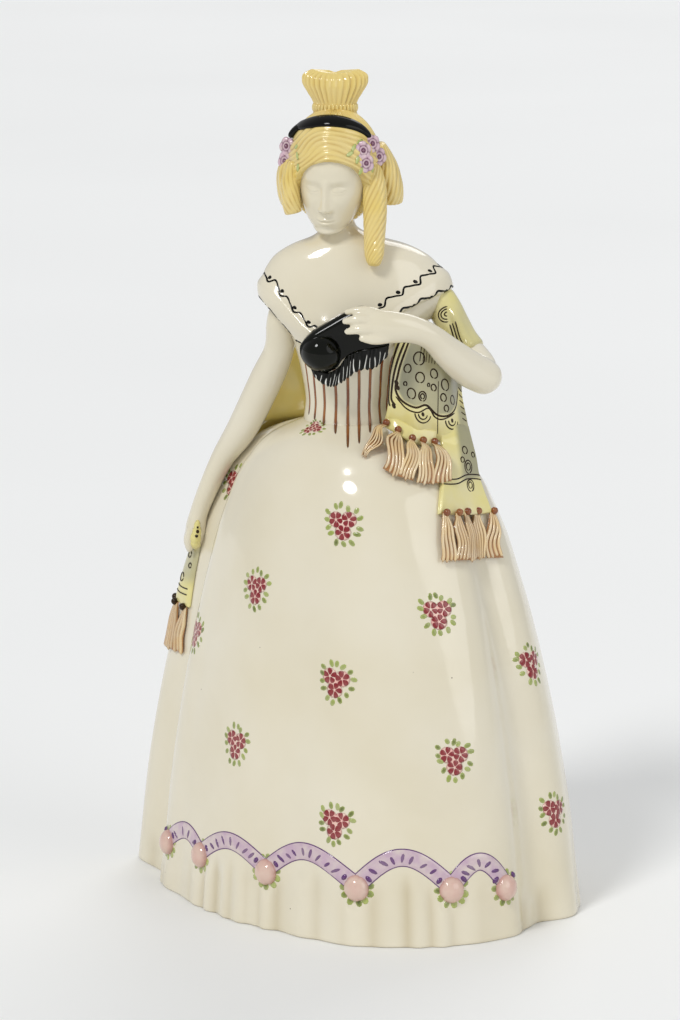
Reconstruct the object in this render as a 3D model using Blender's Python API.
"""A glazed earthenware lady in a crinoline gown who holds a half mask in her left hand.

The figure is slip cast in pieces that are luted together with slip before the firing, so every
piece here is a solid of its own that sits in its neighbours with a slip gap between them.
The front of the figure looks along -Y, +Z is up and the origin is the middle of the foot.
All sizes are in millimetres and become metres where a mesh is made.
"""
import math

import bmesh
import bpy
import numpy as np
from mathutils import Matrix, Vector

MM = 0.001
SLIP_GAP = 0.3
FRONT = np.array((0.0, -1.0, 0.0))

# Skirt: a hollow bell from a flat hip line to a folded hem
WAIST_Z = 176.0
WAIST_CENTRE = (-2.0, 0.0)
WAIST_HALF = (17.0, 14.5)
SKIRT_WALL = 5.0
SKIRT_SIDES = 56
NECK_HOLE_RADIUS = 10.0
FOOT_RECESS = 3.0
FOOT_PLATE_THICKNESS = 4.0
VENT_RADIUS = 6.0
# Hem seen from above: angle in degrees (-90 is the front) and distance from the axis
HEM = (
    (-177.0, 64.4), (-139.0, 55.4), (-116.0, 55.4), (-95.0, 63.0), (-64.0, 72.0), (-45.0, 76.6),
    (-31.0, 73.8), (-21.5, 81.4), (-11.0, 82.0), (3.0, 79.5), (25.0, 76.5), (58.0, 71.0),
    (88.0, 65.4), (114.0, 69.0), (136.0, 89.0), (149.0, 95.4), (160.0, 74.5), (169.0, 73.0),
)
# Share of the height below the waist, and the share of the flare reached there
FLARE = ((0.0, 0.0), (0.03, 0.2), (0.09, 0.39), (0.18, 0.53), (0.33, 0.67), (0.5, 0.79), (0.75, 0.92), (1.0, 1.0))

# Torso and neck: height, centre x and y, half width, depth to the front and to the back
TORSO = (
    (176.3, -2.0, 0.0, 17.0, 14.5, 13.5), (183.0, -2.0, 0.0, 16.3, 14.0, 12.5),
    (191.0, -1.8, 0.0, 17.6, 15.5, 12.5), (200.0, -1.5, 0.0, 20.0, 18.5, 13.0),
    (207.0, -1.0, 0.0, 23.0, 20.0, 13.5), (213.0, -0.8, 0.0, 28.2, 19.5, 13.5),
    (219.0, -0.5, 0.0, 32.6, 17.5, 13.0), (225.0, -0.8, 0.0, 33.0, 15.5, 12.5),
    (231.0, -1.5, 0.0, 30.2, 13.5, 11.5), (235.5, -2.2, 0.0, 25.6, 12.0, 10.5),
    (238.8, -3.0, 0.0, 19.0, 10.5, 9.5), (241.2, -4.5, -0.3, 11.5, 8.5, 8.0),
    (244.0, -6.0, -0.8, 6.9, 6.6, 6.6), (248.0, -7.0, -1.4, 5.8, 5.9, 6.0),
    (253.0, -7.6, -2.0, 5.8, 5.9, 6.0),
)
BUST = {"height": 207.0, "rise": 6.5, "spread": 0.42, "half_angle": 0.45, "depth": 2.4}
TORSO_WALL = 5.0
TORSO_HOLLOW_TOP = 226.0
SPIGOT_RADIUS = 9.0
SPIGOT_LENGTH = 7.0

# Head: an egg on its own axes (front -Y), then turned and set on the neck
HEAD_CENTRE = (-8.2, -3.5, 262.4)
HEAD_TURN = (13.0, 2.0, -12.0)
HEAD = (
    (-16.8, -7.2, 4.6, 5.2, 4.0), (-14.3, -5.6, 7.6, 8.4, 8.0), (-10.0, -3.2, 10.2, 11.5, 11.0),
    (-4.4, -1.0, 11.9, 14.2, 13.0), (2.0, 0.0, 12.6, 15.0, 14.5), (8.7, 0.5, 12.4, 14.8, 14.8),
    (14.5, 1.0, 10.6, 12.5, 13.0), (18.4, 1.2, 6.8, 8.3, 8.5),
)
CHIN_TIP = (0.0, -7.4, -17.8)
CROWN_TIP = (0.0, 1.2, 20.3)
NOSE = {"half_width": 1.6, "height": -5.8, "rise": 3.2, "depth": 2.4}
EYE_HOLLOW = {"aside": 4.8, "height": 0.4, "size": 2.8, "depth": 1.0}

# Hair: a cap round the skull, a fanned topknot and four locks
HAIR_CENTRE = (-8.0, -1.5, 266.0)
HAIR_RADII = (17.0, 20.0, 20.8)
FACE_OPENING_CENTRE = (-9.8, -21.0, 252.5)
FACE_OPENING_RADII = (17.4, 17.0, 17.4)
TOPKNOT_CENTRE = (-7.8, 1.0)
TOPKNOT = ((283.0, 8.2, 6.0), (287.4, 7.5, 5.2), (291.0, 9.6, 5.4), (295.4, 11.7, 5.4), (298.0, 10.8, 4.2),
           (299.3, 8.4, 2.6))
TOPKNOT_RINGS = (284.0, 287.4, 290.0, 293.0, 295.6, 298.0, 299.2)
TOPKNOT_DIP = 0.6
TIE_Z = 287.4
TIE_RADIUS = 1.0
TIE_SIDES = 6
TIE_STAND_OFF = 0.5
# Headband: an arc over the front of the cap, from its ends up to its middle
BAND_MIDDLE_X = -9.6
BAND_HALF_SPAN = 14.2
BAND_END_Z = 274.8
BAND_RISE = 8.4
BAND_HALF_ANGLE = 80.0
BAND_HALF_WIDTH = 3.0
BAND_TAPER = 0.3
BAND_THICKNESS = 1.2
# Lock: rows of x, y, z, half width, half depth from the root to the tip
LOCKS = {
    "left_ringlet": ((5.4, -9.5, 268.0, 2.6, 3.0), (6.0, -10.4, 260.0, 4.2, 4.2), (6.2, -11.6, 251.0, 4.2, 4.2),
                     (6.0, -13.4, 243.0, 3.8, 3.7), (5.9, -15.4, 236.6, 3.4, 3.3), (5.8, -16.6, 232.6, 2.0, 2.0)),
    "left_back_curl": ((7.0, -2.0, 274.0, 2.6, 4.4), (10.0, -0.6, 266.0, 4.2, 6.4), (11.6, 0.0, 258.0, 4.7, 6.6),
                       (11.8, 0.4, 252.6, 4.2, 5.6)),
    "right_side_curl": ((-21.8, -8.4, 268.6, 2.4, 3.4), (-23.4, -9.0, 262.0, 3.2, 4.0),
                        (-23.2, -9.6, 255.0, 3.4, 4.0), (-22.2, -10.0, 250.2, 3.0, 2.8)),
    "right_back_curl": ((-21.6, -1.4, 272.0, 2.6, 4.2), (-24.6, -0.8, 264.0, 3.6, 6.0),
                        (-24.8, -0.4, 257.0, 3.4, 6.0), (-24.0, 0.0, 252.4, 2.6, 4.6)),
}
LOCK_TWISTS = 1.6
LOCK_STRANDS = 4
LOCK_GROOVE = 0.07
# Rosettes in the hair: x and z as the front view shows them, on the cap
ROSETTES = {
    "left_flower_1": (5.1, 275.0), "left_flower_2": (1.9, 273.2), "left_flower_3": (7.4, 270.2),
    "left_flower_4": (2.9, 268.8), "right_flower_1": (-24.6, 273.4), "right_flower_2": (-25.2, 268.2),
}
ROSETTE_FACING = 1.4
ROSETTE_RADIUS = 2.7
PETALS = 5

# Arms: rows of x, y, z, half width, half depth
RIGHT_ARM = (
    (-26.0, 2.0, 218.0, 4.6, 5.4), (-26.8, 2.6, 210.0, 5.4, 5.6), (-27.8, 5.0, 199.6, 5.4, 5.6),
    (-32.6, 9.0, 188.0, 6.0, 6.0), (-41.0, 15.0, 170.0, 5.6, 5.4), (-48.2, 20.0, 158.2, 4.3, 4.6),
    (-53.6, 24.0, 146.4, 3.7, 4.2), (-57.4, 27.4, 136.0, 3.4, 4.0), (-58.8, 28.6, 128.6, 3.8, 4.8),
    (-58.8, 29.4, 122.6, 2.4, 3.2),
)
LEFT_UPPER_ARM = (
    (24.5, 1.0, 225.0, 5.0, 6.0), (30.8, -2.0, 216.0, 5.3, 6.2), (36.6, -7.2, 205.0, 5.3, 6.2),
    (43.6, -12.2, 196.0, 5.7, 6.0), (46.6, -14.4, 191.4, 3.2, 3.4),
)
LEFT_FOREARM = (
    (49.0, -12.6, 190.0, 2.8, 3.0), (46.0, -14.4, 192.4, 6.0, 6.0), (39.0, -19.0, 197.0, 6.5, 6.0),
    (32.4, -23.6, 202.8, 5.7, 5.4), (25.4, -28.6, 209.6, 4.6, 4.3), (18.0, -32.2, 213.0, 5.0, 3.8),
    (10.0, -34.4, 214.0, 5.8, 3.5), (4.4, -35.2, 214.8, 5.2, 2.9), (1.8, -35.4, 215.2, 3.0, 1.8),
)
LEFT_FINGERS = {
    "index": ((8.0, -33.4, 218.6, 1.6, 1.6), (1.6, -34.4, 219.8, 1.6, 1.6), (-4.6, -33.6, 218.9, 1.0, 1.0)),
    "middle": ((7.0, -35.6, 216.4, 1.7, 1.7), (0.0, -36.8, 217.0, 1.7, 1.7), (-5.4, -35.6, 215.9, 1.0, 1.0)),
    "ring": ((7.0, -36.0, 213.0, 1.7, 1.7), (1.0, -37.4, 213.6, 1.7, 1.7), (-4.6, -36.4, 212.4, 1.0, 1.0)),
    "thumb": ((12.0, -34.6, 210.4, 1.8, 1.8), (6.0, -37.0, 209.8, 1.7, 1.7), (0.4, -37.4, 210.6, 1.0, 1.0)),
}

# Half mask: outline in x and z, with a swell round the cheek, and the lace that hangs from it
MASK_OUTLINE = (
    (-19.6, 206.6), (-15.8, 211.0), (-9.2, 215.0), (-4.0, 217.8), (1.9, 219.8), (8.0, 216.2), (12.0, 210.2),
    (11.2, 206.8), (5.6, 205.2), (-0.6, 204.0), (-5.0, 201.2), (-7.0, 198.4), (-10.4, 196.6), (-14.6, 196.9),
    (-18.4, 199.8), (-20.0, 203.3),
)
MASK_MIDDLE = (-5.6, 207.6)
MASK_BACK_Y = -23.6
MASK_EDGE = 1.8
MASK_SWELL = {"x": -12.6, "z": 204.0, "size": 5.4, "depth": 5.6}
LACE_TOP = ((-16.0, -24.6, 197.4), (-10.4, -25.0, 196.0), (-6.4, -25.0, 198.0), (-3.6, -25.0, 201.4),
            (1.0, -25.0, 203.6), (6.4, -25.0, 204.6), (11.0, -24.4, 206.0))
LACE_HEM = ((-15.0, -24.4, 194.8), (-11.4, -25.4, 191.6), (-7.6, -25.6, 191.2), (-4.0, -25.6, 193.4),
            (0.6, -25.6, 196.6), (5.8, -25.4, 197.4), (10.4, -24.4, 201.6))
LACE_THICKNESS = 1.8

# Shawl: a sheet round the back, a sleeve on the left arm, a drape, a fall and the right end
SHAWL_THICKNESS = 2.4
SHAWL_BACK = {"from": -2.0, "to": 146.5, "left_flare": 15.0, "right_flare": 17.0, "off_body": 3.0, "ease": 4.0}
SHAWL_BACK_TOP = ((0.0, 198.0), (0.3, 193.0), (0.6, 188.0), (1.0, 206.0))
SHAWL_BACK_HEM = ((0.0, 166.0), (0.3, 152.0), (0.6, 147.0), (1.0, 165.0))
SLEEVE_SPAN = (0.16, 0.62)
SLEEVE_THICKNESS = 1.7
# Rails down the hanging shawl, from its front edge round to its side
DRAPE_RAILS = (
    ((13.5, -17.5, 206.8), (11.8, -17.0, 195.2), (11.3, -16.5, 185.8), (10.0, -14.6, 178.6)),
    ((20.2, -19.5, 209.9), (19.4, -20.0, 195.8), (18.8, -19.6, 184.0), (18.3, -17.6, 173.6)),
    ((29.0, -16.5, 207.2), (28.6, -17.5, 193.2), (28.3, -17.0, 181.0), (28.2, -13.4, 171.0)),
    ((37.0, -9.0, 197.6), (36.7, -8.0, 186.6), (38.5, -8.0, 177.4), (40.4, -7.4, 168.0)),
)
DRAPE_PLEATS = 3
DRAPE_PLEAT_DEPTH = 0.6
FALL_RAILS = (
    ((29.6, -9.6, 170.6), (29.8, -20.4, 163.9), (29.2, -30.4, 157.6), (28.4, -35.8, 150.4)),
    ((35.0, -10.6, 169.4), (35.9, -16.0, 163.0), (36.5, -21.8, 156.2), (37.1, -27.6, 148.4)),
    ((40.6, -6.8, 168.0), (41.8, -8.6, 163.0), (43.2, -12.4, 155.8), (46.6, -19.5, 147.8)),
)
RIGHT_END = {"tops": (120.6, 120.6), "ends": (103.4, 102.6), "top_angles": (148.5, 155.5),
             "end_angles": (146.5, 155.0), "lift": 2.0}

# Fringes: where each leaves the shawl and where its strands end
FRONT_FRINGE_TOP = ((10.0, -17.2, 176.6), (14.0, -20.1, 174.8), (19.0, -21.7, 172.0), (22.9, -20.4, 171.0),
                    (27.0, -18.0, 170.0))
FRONT_FRINGE_END = ((-1.2, -28.6, 169.0), (10.4, -35.0, 162.0), (17.1, -35.7, 159.6), (24.3, -34.4, 157.6),
                    (33.6, -28.8, 157.6))
FRONT_FRINGE_SWELL = 3.4
FALL_FRINGE = {"tops": (149.2, 146.2), "ends": (132.6, 129.0), "top_angles": (-50.5, -21.5),
               "end_angles": (-57.0, -24.5), "lift": 2.2}
RIGHT_FRINGE = {"tops": (101.8, 100.6), "ends": (82.0, 82.6), "top_angles": (146.5, 153.5),
                "end_angles": (145.5, 155.0), "lift": 2.2}
FRINGE_THICKNESS = 2.2
FRINGE_STRANDS = 7
FRINGE_GROOVE = 0.35

# Roses on the front of the hem: angle in degrees and height of each, half width and half height of all
ROSES = ((173.75, 17.5), (-164.5, 19.2), (-127.0, 20.7), (-90.25, 20.7), (-62.25, 20.0), (-45.75, 18.2))
ROSE_HALF = (4.1, 4.8)
ROSE_DEPTH = 2.9

FINISHES = {
    "ivory_glaze": (0.76, 0.69, 0.55, 0.12), "bare_biscuit": (0.72, 0.64, 0.52, 0.7),
    "hair_ochre": (0.68, 0.5, 0.19, 0.15), "black_enamel": (0.02, 0.02, 0.018, 0.12),
    "mauve_enamel": (0.5, 0.3, 0.36, 0.2), "shawl_yellow": (0.7, 0.58, 0.24, 0.15),
    "fringe_ochre": (0.55, 0.38, 0.16, 0.2), "rose_pink": (0.6, 0.33, 0.28, 0.2),
}


def row_at(rows, key):
    """The rest of a row at a key in the first column, on a smooth curve through the rows."""
    table = np.array(rows, dtype=float)
    keys, values = table[:, 0], table[:, 1:]
    slopes = np.gradient(values, keys, axis=0)
    start = int(np.clip(np.searchsorted(keys, key) - 1, 0, len(keys) - 2))
    span = keys[start + 1] - keys[start]
    step = float(np.clip((key - keys[start]) / span, 0.0, 1.0))
    rise = values[start] * (1 + 2 * step) * (1 - step) ** 2 + values[start + 1] * step**2 * (3 - 2 * step)
    lean = slopes[start] * step * (1 - step) ** 2 - slopes[start + 1] * step**2 * (1 - step)
    return rise + lean * span


def along(rows, share, closed=False):
    """A point of the smooth curve through evenly counted rows, at a share from 0 to 1."""
    table = np.array(rows, dtype=float)
    count = len(table)
    place = share * (count if closed else count - 1)
    start = int(math.floor(place)) if closed else int(np.clip(math.floor(place), 0, count - 2))
    step = place - start
    if closed:
        before, here, after, beyond = (table[(start + k) % count] for k in (-1, 0, 1, 2))
    else:
        before, here, after, beyond = (table[int(np.clip(start + k, 0, count - 1))] for k in (-1, 0, 1, 2))
    return 0.5 * (
        2 * here
        + (after - before) * step
        + (2 * before - 5 * here + 4 * after - beyond) * step**2
        + (3 * here - before - 3 * after + beyond) * step**3
    )


def unit(vector):
    """A vector of length one."""
    return vector / np.linalg.norm(vector)


def finish_of(name):
    """The material of a finish, made when it is first asked for."""
    material = bpy.data.materials.get(name)
    if material is None:
        red, green, blue, roughness = FINISHES[name]
        material = bpy.data.materials.new(name)
        material.use_nodes = True
        shader = material.node_tree.nodes["Principled BSDF"]
        shader.inputs["Base Color"].default_value = (red, green, blue, 1.0)
        shader.inputs["Roughness"].default_value = roughness
        shader.inputs["Metallic"].default_value = 0.0
        material.diffuse_color = (red, green, blue, 1.0)
    return material


def add_object(name, bm, finish):
    """Turn a bmesh in millimetres into a shaded object of the figure."""
    bmesh.ops.triangulate(bm, faces=bm.faces, quad_method="SHORT_EDGE")
    bmesh.ops.recalc_face_normals(bm, faces=bm.faces)
    if bm.calc_volume(signed=True) < 0.0:
        bmesh.ops.reverse_faces(bm, faces=bm.faces)
    bmesh.ops.scale(bm, vec=(MM, MM, MM), verts=bm.verts)
    mesh = bpy.data.meshes.new(name)
    bm.to_mesh(mesh)
    bm.free()
    mesh.shade_smooth()
    mesh.set_sharp_from_angle(angle=math.radians(40.0))
    mesh.materials.append(finish_of(finish))
    piece = bpy.data.objects.new(name, mesh)
    bpy.context.scene.collection.objects.link(piece)
    piece.parent = bpy.data.objects["figurine"]
    return piece


def loft(name, rings, start, end, sides, finish):
    """A closed solid: a globe whose circles of latitude go to the rings and its poles to the ends."""
    steps = len(rings) + 1
    bm = bmesh.new()
    bmesh.ops.create_uvsphere(bm, u_segments=sides, v_segments=steps, radius=1.0)
    for vert in bm.verts:
        step = round(steps * (1.0 - math.acos(max(-1.0, min(1.0, vert.co.z))) / math.pi))
        if step == 0:
            vert.co = Vector(start)
        elif step == steps:
            vert.co = Vector(end)
        else:
            vert.co = Vector(rings[step - 1](math.atan2(vert.co.y, vert.co.x)))
    return add_object(name, bm, finish)


def loop_loft(name, rings, sides, finish):
    """A closed ring-shaped solid through rings that follow each other round its section."""
    turn = 2.0 * math.pi / len(rings)
    bm = bmesh.new()
    profile = [bm.verts.new((2.0 + math.cos(k * turn), 0.0, math.sin(k * turn))) for k in range(len(rings))]
    edges = [bm.edges.new((profile[k - 1], profile[k])) for k in range(len(rings))]
    bmesh.ops.spin(bm, geom=profile + edges, axis=(0, 0, 1), angle=2.0 * math.pi, steps=sides, use_merge=True)
    for vert in bm.verts:
        distance = math.hypot(vert.co.x, vert.co.y) - 2.0
        step = round(math.atan2(vert.co.z, distance) / turn) % len(rings)
        vert.co = Vector(rings[step](math.atan2(vert.co.y, vert.co.x)))
    return add_object(name, bm, finish)


def hide(piece):
    """Make a piece a cutter that isn't part of the figure."""
    piece.hide_render = True
    piece.display_type = "WIRE"
    return piece


def clearance(piece):
    """A hidden copy of a piece that is larger by the slip gap."""
    name = f"{piece.name}_clearance"
    if name in bpy.data.objects:
        return bpy.data.objects[name]
    cutter = bpy.data.objects.new(name, piece.data.copy())
    bpy.context.scene.collection.objects.link(cutter)
    swell = cutter.modifiers.new("slip_gap", "DISPLACE")
    swell.strength = SLIP_GAP * MM
    swell.mid_level = 0.0
    return hide(cutter)


def join(piece, other, operation):
    """Keep a Boolean of a piece with another object as its modifier."""
    modifier = piece.modifiers.new(f"{operation.lower()}_{other.name}", "BOOLEAN")
    modifier.operation = operation
    modifier.object = other
    modifier.solver = "EXACT"


def seat(piece, *cutters):
    """Cut what a piece sits in out of it."""
    for cutter in cutters:
        join(piece, cutter, "DIFFERENCE")
    return piece


def level_ring(place, height, grow=0.0):
    """A ring at one height of a form that is given as place(angle, height, grow)."""
    return lambda angle: place(angle, height, grow)


def circle_ring(centre, radius, height):
    """A level circle."""
    return lambda angle: (centre[0] + radius * math.cos(angle), centre[1] + radius * math.sin(angle), height)


def limb_rings(rows, count, twists=0.0, strands=0, groove=0.0):
    """Rings along a limb, its width lying across the front view, with strands that wind round it."""
    rings = []
    for k in range(count):
        share = (k + 0.5) / count
        x, y, z, width, depth = along(rows, share)
        run = unit(along(rows, share + 0.01)[:3] - along(rows, share - 0.01)[:3])
        aside = unit(np.cross(run, FRONT))
        outward = np.cross(aside, run)

        def ring(angle, middle=np.array((x, y, z)), a=aside, o=outward, w=width, d=depth, turn=share):
            swell = 1.0 + groove * math.cos(strands * (angle + 2.0 * math.pi * twists * turn))
            return middle + a * w * swell * math.cos(angle) + o * d * swell * math.sin(angle)

        rings.append(ring)
    return rings


def limb(name, rows, sides, count, finish, **form):
    """A solid limb with rounded ends."""
    return loft(name, limb_rings(rows, count, **form), rows[0][:3], rows[-1][:3], sides, finish)


def sheet(name, surface, across, along_count, thickness, finish):
    """A thin solid on surface(u, v, lift): u runs from end to end and v from edge to edge."""
    bm = bmesh.new()
    bmesh.ops.create_grid(bm, x_segments=along_count, y_segments=across, size=0.5)
    copied = bmesh.ops.extrude_face_region(bm, geom=bm.faces[:])["geom"]
    under = {element for element in copied if isinstance(element, bmesh.types.BMVert)}
    for vert in bm.verts:
        lift = -0.5 * thickness if vert in under else 0.5 * thickness
        vert.co = Vector(surface(vert.co.x + 0.5, vert.co.y + 0.5, lift))
    return add_object(name, bm, finish)


def ruled(first, second, swell=0.0):
    """A surface between two edge curves, swollen to the front."""

    def surface(u, v, lift):
        near, far = along(first, u), along(second, u)
        run = along(first, min(u + 0.02, 1.0)) - along(first, max(u - 0.02, 0.0))
        outward = unit(np.cross(run, far - near))
        outward = outward if outward @ FRONT > 0 else -outward
        return near + (far - near) * v + outward * (swell * math.sin(math.pi * v) + lift)

    return surface


def hung(rails, pleats=0, pleat_depth=0.0):
    """A surface hung on rails: u runs down them and v from the first to the last, with pleats along them."""

    def place(u, v):
        return along([along(rail, u) for rail in rails], v)

    def surface(u, v, lift):
        run = place(min(u + 0.02, 1.0), v) - place(max(u - 0.02, 0.0), v)
        across = place(u, min(v + 0.02, 1.0)) - place(u, max(v - 0.02, 0.0))
        outward = unit(np.cross(run, across))
        return place(u, v) + outward * (pleat_depth * math.sin(2.0 * math.pi * pleats * v) + lift)

    return surface


def hem_radius(angle):
    """Distance of the hem from the axis."""
    wrapped = [(a - 360.0, r) for a, r in HEM[-3:]] + list(HEM) + [(a + 360.0, r) for a, r in HEM[:3]]
    return float(row_at(wrapped, math.degrees(math.remainder(angle, 2.0 * math.pi)))[0])


def skirt_place(angle, height, grow=0.0):
    """A point of the skirt's outer face."""
    share = float(row_at(FLARE, (WAIST_Z - height) / WAIST_Z)[0])
    ray = np.array((math.cos(angle), math.sin(angle)))
    waist = np.array(WAIST_CENTRE) + np.array(WAIST_HALF) * ray
    level = waist + (hem_radius(angle) * ray - waist) * share + grow * ray
    return (level[0], level[1], height)


def torso_place(angle, height, grow=0.0):
    """A point of the torso's or neck's outer face."""
    x, y, width, front, back = row_at(TORSO, height)
    depth = front if math.sin(angle) < 0.0 else back
    lift = 0.0
    for aside in (-BUST["half_angle"], BUST["half_angle"]):
        off = math.remainder(angle + math.pi / 2.0 - aside, 2.0 * math.pi) / BUST["spread"]
        lift += BUST["depth"] * math.exp(-(off**2) - ((height - BUST["height"]) / BUST["rise"]) ** 2)
    return (
        x + (width + grow + lift) * math.cos(angle),
        y + (depth + grow + lift) * math.sin(angle),
        height,
    )


def head_to_figure(point):
    """A point on the head's own axes, placed in the figure."""
    pitch, roll, yaw = (math.radians(value) for value in HEAD_TURN)
    turned = Matrix.Rotation(yaw, 3, "Z") @ Matrix.Rotation(roll, 3, "Y") @ Matrix.Rotation(pitch, 3, "X")
    return turned @ Vector(point) + Vector(HEAD_CENTRE)


def head_place(angle, height, grow=0.0):
    """A point of the head, with a plain nose and eye hollows."""
    y, width, front, back = row_at(HEAD, height)
    depth = front if math.sin(angle) < 0.0 else back
    x = (width + grow) * math.cos(angle)
    lift = 0.0
    if math.sin(angle) < 0.0:
        rise = (height - NOSE["height"]) / NOSE["rise"]
        lift += NOSE["depth"] * math.exp(-((x / NOSE["half_width"]) ** 2) - rise**2)
        for aside in (-EYE_HOLLOW["aside"], EYE_HOLLOW["aside"]):
            off = math.hypot(x - aside, height - EYE_HOLLOW["height"]) / EYE_HOLLOW["size"]
            lift -= EYE_HOLLOW["depth"] * math.exp(-(off**2))
    return head_to_figure((x, y + (depth + grow + lift) * math.sin(angle), height))


def hair_place(angle, tilt, grow=0.0):
    """A point of the hair cap at an angle round it and a tilt above its middle."""
    x, y, z = HAIR_CENTRE
    a, b, c = (radius + grow for radius in HAIR_RADII)
    return (
        x + a * math.cos(tilt) * math.cos(angle),
        y + b * math.cos(tilt) * math.sin(angle),
        z + c * math.sin(tilt),
    )


def make_skirt():
    """The hollow skirt with a neck hole for the torso's spigot, and its solid clearance form."""
    outer = (0.0, 12.0, 30.0, 52.0, 76.0, 98.0, 117.0, 134.0, 148.0, 159.0, 167.0, 172.0, 175.2)
    inner = (162.0, 140.0, 104.0, 60.0, 9.0, 0.0)
    rings = [level_ring(skirt_place, z) for z in outer]
    rings += [circle_ring(WAIST_CENTRE, NECK_HOLE_RADIUS, z) for z in (WAIST_Z, WAIST_Z - SPIGOT_LENGTH)]
    rings += [level_ring(skirt_place, z, -SKIRT_WALL) for z in inner]
    loop_loft("skirt", rings, SKIRT_SIDES, "ivory_glaze")
    solid = loft("skirt_form", rings[: len(outer)], (0.0, 0.0, 0.0), (*WAIST_CENTRE, WAIST_Z), SKIRT_SIDES,
                 "ivory_glaze")
    return clearance(hide(solid))


def make_base_plate():
    """The plate that closes the foot, set up inside it, with the vent hole of a hollow casting."""
    low, high = FOOT_RECESS, FOOT_RECESS + FOOT_PLATE_THICKNESS
    rim = -(SKIRT_WALL + SLIP_GAP)
    rings = [level_ring(skirt_place, low, rim), level_ring(skirt_place, high, rim - 0.4)]
    rings += [circle_ring((0.0, 0.0), VENT_RADIUS, z) for z in (high, low)]
    return loop_loft("base_plate", rings, SKIRT_SIDES, "bare_biscuit")


def make_torso():
    """The hollow torso with shoulders and neck, on a spigot, and its solid clearance form."""
    foot = TORSO[0][0]
    outer = (176.3, 183.0, 191.0, 198.0, 204.0, 209.0, 214.0, 219.0, 225.0, 231.0, 236.0, 239.2, 241.6, 244.6,
             252.4)
    inner = (221.0, 212.0, 200.0, 186.0)
    bore = SPIGOT_RADIUS - TORSO_WALL
    rings = [level_ring(torso_place, z, -TORSO_WALL) for z in inner]
    rings += [circle_ring(WAIST_CENTRE, bore, z) for z in (foot + 3.0, foot - SPIGOT_LENGTH + 1.0)]
    rings += [circle_ring(WAIST_CENTRE, SPIGOT_RADIUS, z) for z in (foot - SPIGOT_LENGTH + 1.0, foot)]
    rings += [level_ring(torso_place, z) for z in outer]
    top = (TORSO[-1][1], TORSO[-1][2], TORSO[-1][0])
    hollow_top = (TORSO[8][1], 0.0, TORSO_HOLLOW_TOP)
    loft("torso", rings, hollow_top, top, 28, "ivory_glaze")
    solid = loft("torso_form", rings[-len(outer):], (*WAIST_CENTRE, foot), top, 28, "ivory_glaze")
    return clearance(hide(solid))


def make_head(torso_form):
    """The head, socketed over the neck."""
    heights = np.linspace(HEAD[0][0], HEAD[-1][0], 13)
    rings = [level_ring(head_place, z) for z in heights]
    head = loft("head", rings, head_to_figure(CHIN_TIP), head_to_figure(CROWN_TIP), 22, "ivory_glaze")
    cutter = clearance(head)
    seat(head, torso_form)
    return cutter


def make_hair(head_form, torso_form):
    """The hair cap, open round the face, and its solid clearance form."""
    tilts = [math.radians(value) for value in range(-75, 76, 15)]
    x, y, z = HAIR_CENTRE
    pole = HAIR_RADII[2]
    rings = [level_ring(hair_place, tilt) for tilt in tilts]
    cap = loft("hair_cap", rings, (x, y, z - pole), (x, y, z + pole), 28, "hair_ochre")
    hair_form = clearance(cap)
    a, b, c = FACE_OPENING_CENTRE
    wide, deep, tall = FACE_OPENING_RADII

    def opening(tilt):
        return lambda angle: (
            a + wide * math.cos(tilt) * math.cos(angle),
            b + deep * math.cos(tilt) * math.sin(angle),
            c + tall * math.sin(tilt),
        )

    face = loft("face_opening", [opening(tilt) for tilt in tilts], (a, b, c - tall), (a, b, c + tall), 20,
                "hair_ochre")
    seat(cap, head_form, torso_form, hide(face))
    return hair_form


def make_topknot(hair_form):
    """The fanned topknot and the cord that ties it."""
    x, y = TOPKNOT_CENTRE

    def fan(height):
        width, depth = row_at(TOPKNOT, height)
        lift = max(0.0, (height - TIE_Z) / (TOPKNOT[-1][0] - TIE_Z))

        def ring(angle):
            flute = 1.0 + 0.05 * lift * math.cos(10.0 * angle)
            dip = TOPKNOT_DIP * lift**2 * math.cos(2.0 * angle)
            return (
                x + width * flute * math.cos(angle),
                y + depth * flute * math.sin(angle),
                height + dip,
            )

        return ring

    bottom, top = (x, y, TOPKNOT[0][0]), (x, y, TOPKNOT[-1][0])
    knot = loft("topknot", [fan(z) for z in TOPKNOT_RINGS], bottom, top, 20, "hair_ochre")
    seat(knot, hair_form)
    width, depth = row_at(TOPKNOT, TIE_Z)

    def tie_ring(turn):
        off = TIE_STAND_OFF + TIE_RADIUS * (1.0 + math.cos(turn))
        rise = TIE_Z + TIE_RADIUS * math.sin(turn)
        return lambda angle: (x + (width + off) * math.cos(angle), y + (depth + off) * math.sin(angle), rise)

    turns = [-2.0 * math.pi * k / TIE_SIDES for k in range(TIE_SIDES)]
    tie = loop_loft("topknot_tie", [tie_ring(turn) for turn in turns], 20, "hair_ochre")
    seat(tie, hair_form, clearance(knot))


def hair_front(x, z):
    """Where the front of the hair cap is met at an x and z, and its outward direction there."""
    centre, radii = np.array(HAIR_CENTRE), np.array(HAIR_RADII)
    share = ((x - centre[0]) / radii[0]) ** 2 + ((z - centre[2]) / radii[2]) ** 2
    y = centre[1] - radii[1] * math.sqrt(max(0.02, 1.0 - share))
    return np.array((x, y, z)), unit((np.array((x, y, z)) - centre) / radii**2)


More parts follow.
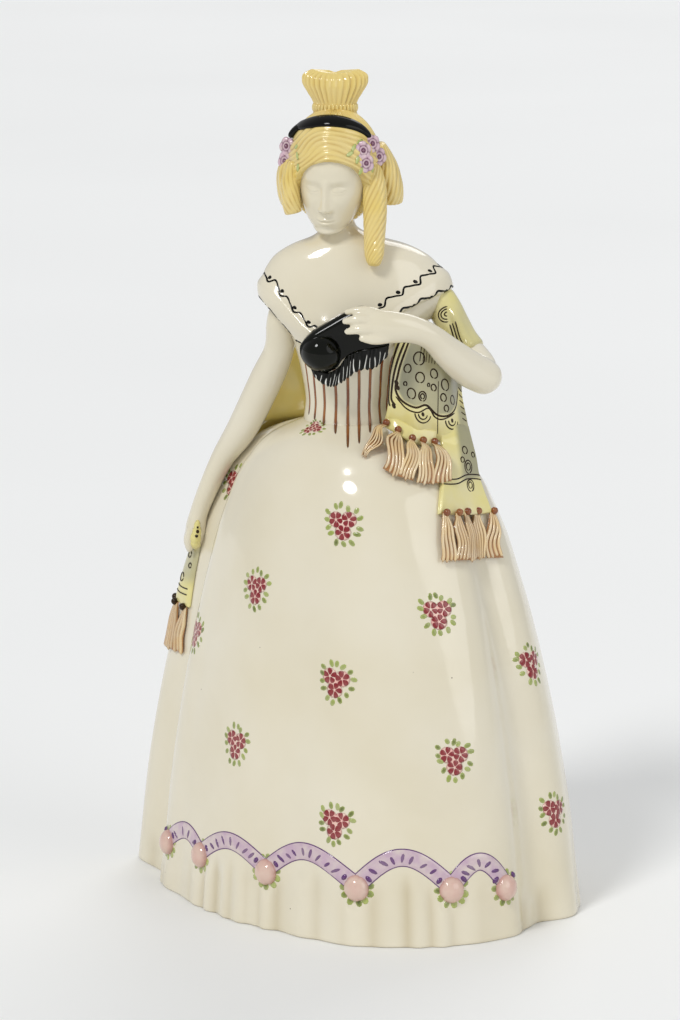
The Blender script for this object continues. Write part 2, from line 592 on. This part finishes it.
def make_headband(hair_form):
    """The black band over the front of the hair, from side to side."""

    def spot(turn):
        return hair_front(BAND_MIDDLE_X + BAND_HALF_SPAN * math.sin(turn), BAND_END_Z + BAND_RISE * math.cos(turn))

    def band_ring(turn):
        place, outward = spot(turn)
        across = np.cross(outward, unit(spot(turn + 0.02)[0] - spot(turn - 0.02)[0]))
        width = BAND_HALF_WIDTH * (BAND_TAPER + (1.0 - BAND_TAPER) * math.cos(turn))
        return lambda angle: place + outward * BAND_THICKNESS * math.sin(angle) + across * width * math.cos(angle)

    turns = np.radians(np.linspace(-BAND_HALF_ANGLE, BAND_HALF_ANGLE, 11))
    start, end = spot(turns[0] - 0.04)[0], spot(turns[-1] + 0.04)[0]
    return seat(loft("headband", [band_ring(turn) for turn in turns], start, end, 10, "black_enamel"), hair_form)


def make_rosettes(hair_form, band_form):
    """The flowers at both ends of the headband, each a disc of round petals."""
    section = ((0.63, -1.4), (1.0, -0.3), (0.96, 0.7), (0.44, 1.2))
    earlier = []
    for name, (x, z) in ROSETTES.items():
        place, normal = hair_front(x, z)
        outward = unit(normal + ROSETTE_FACING * FRONT)
        aside = unit(np.cross(outward, (0.0, 0.0, 1.0)))
        upward = np.cross(aside, outward)

        def petal_ring(share, rise, middle=place, n=outward, a=aside, u=upward):
            def ring(angle):
                reach = share * ROSETTE_RADIUS * (1.0 + 0.14 * math.cos(PETALS * angle))
                return middle + n * rise + (a * math.cos(angle) + u * math.sin(angle)) * reach

            return ring

        rings = [petal_ring(share, rise) for share, rise in section]
        flower = loft(name, rings, place - outward * 1.5, place + outward * 0.8, 15, "mauve_enamel")
        cutter = clearance(flower)
        seat(flower, hair_form, band_form, *earlier)
        earlier.append(cutter)
    return earlier


def make_locks(hair_form, head_form, torso_form, flower_forms):
    """The ringlet and the curls that hang beside the face."""
    forms = []
    for name, rows in LOCKS.items():
        lock = limb(name, rows, 12, 10, "hair_ochre", twists=LOCK_TWISTS, strands=LOCK_STRANDS, groove=LOCK_GROOVE)
        cutter = clearance(lock)
        seat(lock, hair_form, head_form, torso_form, *flower_forms, *forms)
        forms.append(cutter)


def make_right_arm(skirt_form, torso_form):
    """The right arm, which hangs down beside the skirt, with its hand."""
    arm = limb("right_arm", RIGHT_ARM, 12, 16, "ivory_glaze")
    cutter = clearance(arm)
    seat(arm, torso_form, skirt_form)
    return cutter


def make_left_arm(torso_form):
    """The bent left arm, with the fingers that hold the mask."""
    arm = limb("left_arm", LEFT_FOREARM, 12, 14, "ivory_glaze")
    upper = limb("left_upper_arm_form", LEFT_UPPER_ARM, 12, 8, "ivory_glaze")
    forms = [clearance(arm), clearance(upper)]
    join(arm, hide(upper), "UNION")
    for name, rows in LEFT_FINGERS.items():
        finger = limb(f"left_{name}_form", rows, 6, 5, "ivory_glaze")
        forms.append(clearance(finger))
        join(arm, hide(finger), "UNION")
    seat(arm, torso_form)
    return forms


def make_mask(arm_forms, torso_form):
    """The half mask and the lace that hangs from it."""
    middle = np.array(MASK_MIDDLE)

    def mask_ring(inset, y, swell):
        def ring(angle):
            edge = along(MASK_OUTLINE, (0.5 - angle / (2.0 * math.pi)) % 1.0, closed=True)
            x, z = middle + (edge - middle) * (1.0 - inset)
            off = math.hypot(x - MASK_SWELL["x"], z - MASK_SWELL["z"]) / MASK_SWELL["size"]
            return (x, y - swell * MASK_SWELL["depth"] * math.exp(-(off**2)), z)

        return ring

    front = MASK_BACK_Y - MASK_EDGE
    rings = [mask_ring(0.5, MASK_BACK_Y, 0.0), mask_ring(0.03, MASK_BACK_Y, 0.0), mask_ring(0.0, front, 0.3)]
    rings += [mask_ring(0.1, front - 1.0, 0.8), mask_ring(0.3, front - 1.6, 1.0), mask_ring(0.6, front - 2.0, 1.0)]
    start, end = (middle[0], MASK_BACK_Y, middle[1]), (middle[0], front - 2.2, middle[1])
    mask = loft("mask", rings, start, end, 28, "black_enamel")
    cutter = clearance(mask)
    seat(mask, torso_form, *arm_forms)
    lace = sheet("mask_lace", ruled(LACE_TOP, LACE_HEM), 2, 18, LACE_THICKNESS, "black_enamel")
    lace_form = clearance(lace)
    seat(lace, cutter, torso_form, *arm_forms)
    return [cutter, lace_form]


def shawl_back_surface(u, v, lift):
    """The shawl round the back: u runs from the left elbow to the right one, v from its top to its hem."""
    angle = math.radians(SHAWL_BACK["from"] + (SHAWL_BACK["to"] - SHAWL_BACK["from"]) * u)
    high, low = float(row_at(SHAWL_BACK_TOP, u)[0]), float(row_at(SHAWL_BACK_HEM, u)[0])
    height = high + (low - high) * v
    flare = SHAWL_BACK["left_flare"] if math.cos(angle) > 0.0 else SHAWL_BACK["right_flare"]
    off = SHAWL_BACK["off_body"] + flare * math.cos(angle) ** 2
    axis = np.array(WAIST_CENTRE)
    upper = np.array(torso_place(angle, max(height, TORSO[0][0]), off)[:2]) - axis
    lower = np.array(skirt_place(angle, min(height, WAIST_Z), SHAWL_BACK["off_body"])[:2]) - axis
    near, far = np.linalg.norm(upper), np.linalg.norm(lower)
    reach = 0.5 * (near + far + math.hypot(near - far, SHAWL_BACK["ease"])) + lift
    return (*(axis + unit(upper) * reach), height)


def skirt_band(span, strands=0, groove=0.0):
    """A surface that lies on the skirt: u runs across it and v from its top to its end."""

    def between(pair, share):
        return pair[0] + (pair[1] - pair[0]) * share

    def surface(u, v, lift):
        degrees = between((between(span["top_angles"], u), between(span["end_angles"], u)), v)
        height = between((between(span["tops"], u), between(span["ends"], u)), v)
        rib = groove * math.cos(2.0 * math.pi * strands * u)
        return skirt_place(math.radians(degrees), height, span["lift"] + lift + rib)

    return surface


def make_shawl(skirt_form, torso_form, right_arm_form, left_arm_forms, mask_forms):
    """The shawl's pieces, each cut clear of what it lies on."""
    forms = []

    def add(piece, *cutters):
        cutter = clearance(piece)
        seat(piece, *cutters, *forms)
        forms.append(cutter)

    first, last = SLEEVE_SPAN
    rows = [along(LEFT_UPPER_ARM, first + (last - first) * k / 4.0) for k in range(5)]
    sleeve_rows = [(x, y, z, w + SLEEVE_THICKNESS, d + SLEEVE_THICKNESS) for x, y, z, w, d in rows]
    add(limb("shawl_left_sleeve", sleeve_rows, 14, 6, "shawl_yellow"), torso_form, *left_arm_forms)
    drape = hung(DRAPE_RAILS, DRAPE_PLEATS, DRAPE_PLEAT_DEPTH)
    add(sheet("shawl_left_drape", drape, 16, 7, SHAWL_THICKNESS, "shawl_yellow"),
        torso_form, skirt_form, *left_arm_forms, *mask_forms)
    add(sheet("shawl_left_fall", hung(FALL_RAILS), 8, 6, SHAWL_THICKNESS, "shawl_yellow"), skirt_form)
    add(sheet("shawl_back", shawl_back_surface, 7, 18, SHAWL_THICKNESS, "shawl_yellow"),
        torso_form, skirt_form, right_arm_form, *left_arm_forms)
    end = skirt_band(RIGHT_END)
    add(sheet("shawl_right_end", end, 5, 6, SHAWL_THICKNESS, "shawl_yellow"), skirt_form, right_arm_form)
    return forms


def make_fringes(skirt_form, shawl_forms):
    """The fringes at the shawl's ends."""
    front = ruled(FRONT_FRINGE_TOP, FRONT_FRINGE_END, FRONT_FRINGE_SWELL)
    piece = sheet("fringe_front", front, 4, 14, FRINGE_THICKNESS, "fringe_ochre")
    front_form = clearance(piece)
    seat(piece, skirt_form, *shawl_forms)
    for name, span in (("fringe_fall", FALL_FRINGE), ("fringe_right", RIGHT_FRINGE)):
        piece = sheet(name, skirt_band(span, FRINGE_STRANDS, FRINGE_GROOVE), 3, 14, FRINGE_THICKNESS, "fringe_ochre")
        seat(piece, skirt_form, front_form, *shawl_forms)


def make_roses(skirt_form):
    """The applied roses of the hem garland."""
    section = ((0.8, -0.7), (1.0, 0.1), (0.7, 0.8))
    for number, (degrees, height) in enumerate(ROSES, start=1):
        angle = math.radians(degrees)
        middle = np.array(skirt_place(angle, height))
        aside = unit(np.array(skirt_place(angle + 0.03, height)) - np.array(skirt_place(angle - 0.03, height)))
        climb = unit(np.array(skirt_place(angle, height + 1.0)) - middle)
        outward = unit(np.cross(aside, climb))

        def petal_ring(reach, rise, m=middle, a=aside, c=climb, o=outward):
            def ring(turn):
                spread = reach * (1.0 + 0.06 * math.cos(PETALS * turn))
                wide, tall = ROSE_HALF[0] * math.cos(turn), ROSE_HALF[1] * math.sin(turn)
                return m + o * ROSE_DEPTH * rise + (a * wide + c * tall) * spread

            return ring

        rings = [petal_ring(reach, rise) for reach, rise in section]
        low, high = middle - outward * ROSE_DEPTH, middle + outward * ROSE_DEPTH
        seat(loft(f"hem_rose_{number}", rings, low, high, 12, "rose_pink"), skirt_form)


def main():
    """Build the figure from the foot up, each piece cut to sit on the ones before it."""
    for old in list(bpy.data.objects):
        bpy.data.objects.remove(old, do_unlink=True)
    figure = bpy.data.objects.new("figurine", None)
    bpy.context.scene.collection.objects.link(figure)
    skirt_form = make_skirt()
    make_base_plate()
    torso_form = make_torso()
    head_form = make_head(torso_form)
    hair_form = make_hair(head_form, torso_form)
    make_topknot(hair_form)
    band = make_headband(hair_form)
    flower_forms = make_rosettes(hair_form, clearance(band))
    make_locks(hair_form, head_form, torso_form, flower_forms)
    right_arm_form = make_right_arm(skirt_form, torso_form)
    left_arm_forms = make_left_arm(torso_form)
    mask_forms = make_mask(left_arm_forms, torso_form)
    shawl_forms = make_shawl(skirt_form, torso_form, right_arm_form, left_arm_forms, mask_forms)
    make_fringes(skirt_form, shawl_forms)
    make_roses(skirt_form)


main()
